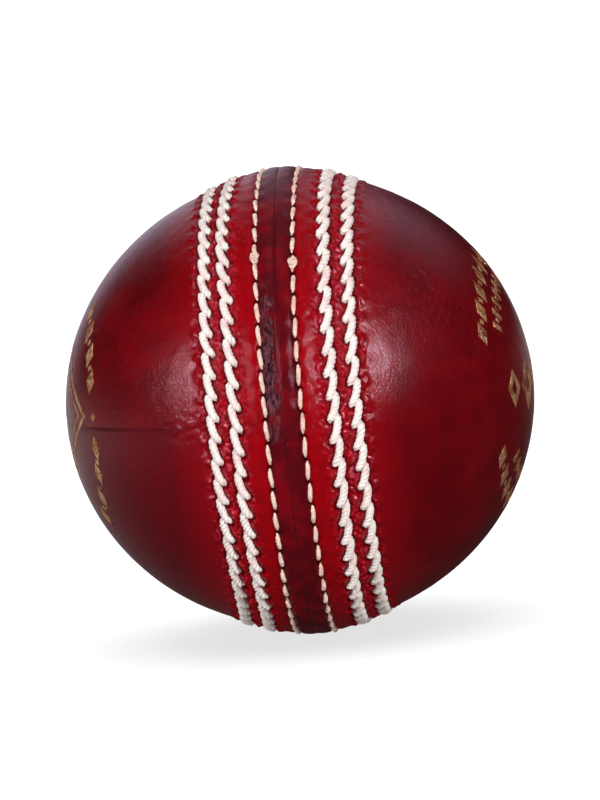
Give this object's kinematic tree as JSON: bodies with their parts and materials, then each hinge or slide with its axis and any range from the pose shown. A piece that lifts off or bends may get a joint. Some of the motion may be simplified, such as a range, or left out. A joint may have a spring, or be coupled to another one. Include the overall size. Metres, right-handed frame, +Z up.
{
  "type": "cricket ball",
  "caption": "Hand-stitched leather cricket ball: quartered cover with a raised stitched seam over a lined, wound cork and yarn centre.",
  "frame": {"origin": "centre of the ball", "axes": "+X along the axis through both hemispheres' poles, so the seam circle lies in the plane x = 0; -Y is the front and +Z is up"},
  "size_m": [0.0722, 0.072, 0.072],
  "materials": {
    "cover_leather": "dyed and polished crimson leather with a lacquer coat",
    "seam_cord": "thick twisted cream cord, slightly stained",
    "seam_thread": "thin waxed cream thread",
    "joint_thread": "waxed linen thread",
    "lining_felt": "soft suede-side lining pad",
    "nucleus_compound": "moulded cork and rubber granules",
    "cork": "natural granular cork",
    "wool_yarn": "tightly wound wool yarn",
    "gold_foil": "hot-stamped gold foil, crinkled and slightly worn"
  },
  "bodies": {
    "root": {"leather_right_rear_quarter": "cover_leather", "leather_right_front_quarter": "cover_leather", "leather_left_upper_quarter": "cover_leather", "leather_left_lower_quarter": "cover_leather", "seam_stitch_row_right_middle": "seam_cord", "seam_stitch_row_right_outer": "seam_cord", "seam_stitch_row_left_middle": "seam_cord", "seam_stitch_row_left_outer": "seam_cord", "seam_stitch_row_right_inner": "seam_thread", "seam_stitch_row_left_inner": "seam_thread", "quarter_joint_thread_right": "joint_thread", "quarter_joint_thread_left": "joint_thread", "lining_pad_right": "lining_felt", "lining_pad_left": "lining_felt", "cork_rubber_nucleus": "nucleus_compound", "cork_layer_1_strip_1": "cork", "cork_layer_1_strip_2": "cork", "cork_layer_1_strip_3": "cork", "cork_layer_1_strip_4": "cork", "cork_layer_2_strip_1": "cork", "cork_layer_2_strip_2": "cork", "cork_layer_2_strip_3": "cork", "cork_layer_2_strip_4": "cork", "cork_layer_3_strip_1": "cork", "cork_layer_3_strip_2": "cork", "cork_layer_3_strip_3": "cork", "cork_layer_3_strip_4": "cork", "cork_layer_4_strip_1": "cork", "cork_layer_4_strip_2": "cork", "cork_layer_4_strip_3": "cork", "cork_layer_4_strip_4": "cork", "yarn_winding_1": "wool_yarn", "yarn_winding_2": "wool_yarn", "yarn_winding_3": "wool_yarn", "yarn_winding_4": "wool_yarn"}
  },
  "joints": []
}
